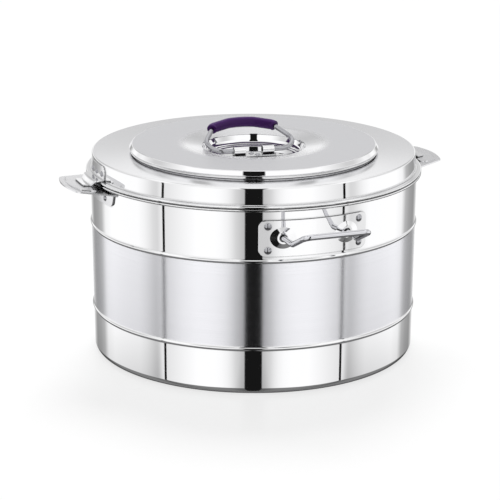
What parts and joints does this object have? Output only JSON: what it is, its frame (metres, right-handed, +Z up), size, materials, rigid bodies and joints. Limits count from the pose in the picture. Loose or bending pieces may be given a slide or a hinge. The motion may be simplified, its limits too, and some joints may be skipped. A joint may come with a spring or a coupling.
{
  "type": "insulated casserole",
  "caption": "Round double-walled steel casserole with side ears, fixed carrying handles and a lift-off insulated lid with a folding wire handle and plastic grip.",
  "frame": {"origin": "middle of the flat ring that the casserole stands on", "axes": "+Z up, ears along +X and -X, carrying handles along -Y and +Y"},
  "size_m": [0.4358, 0.48, 0.2469],
  "materials": {
    "shell_steel": "mirror-polished stainless steel with a satin band",
    "base_steel": "satin stainless steel",
    "bowl_steel": "satin food-grade stainless steel",
    "fitting_steel": "polished stainless steel",
    "rod_steel": "polished stainless steel",
    "rivet_steel": "polished stainless steel",
    "lid_steel": "mirror-polished stainless steel",
    "disc_steel": "satin, spun, with a polished rim",
    "cup_steel": "mirror-polished stainless steel",
    "foam": "rigid foam",
    "grip_plastic": "smooth dark purple sleeve"
  },
  "bodies": {
    "body": {"outer_shell": "shell_steel", "base_plate": "base_steel", "inner_bowl": "bowl_steel", "body_insulation": "foam", "ear_left": "fitting_steel", "ear_right": "fitting_steel", "ear_rivets": "rivet_steel", "carry_plate_front": "fitting_steel", "carry_plate_back": "fitting_steel", "carry_handle_front": "rod_steel", "carry_handle_back": "rod_steel", "carry_plate_rivets": "rivet_steel"},
    "lid": {"lid_shell": "lid_steel", "lid_disc": "disc_steel", "handle_cup": "cup_steel", "lid_liner": "bowl_steel", "lid_insulation": "foam", "lid_bracket_left": "fitting_steel", "lid_bracket_right": "fitting_steel", "lid_bracket_rivets": "rivet_steel", "bail_bracket": "fitting_steel", "bail_bracket_rivets": "rivet_steel"},
    "bail": {"bail_wire": "rod_steel", "bail_grip": "grip_plastic"}
  },
  "joints": [
    {"name": "lid_lift", "type": "slide", "parent": "body", "child": "lid", "axis": [0, 0, 1], "range_m": [0, 0.15]},
    {"name": "bail_hinge", "type": "hinge", "parent": "lid", "child": "bail", "pos_m": [0, 0, 0.221], "axis": [0.9969, -0.0785, 0], "range_deg": [-6, 144]}
  ]
}
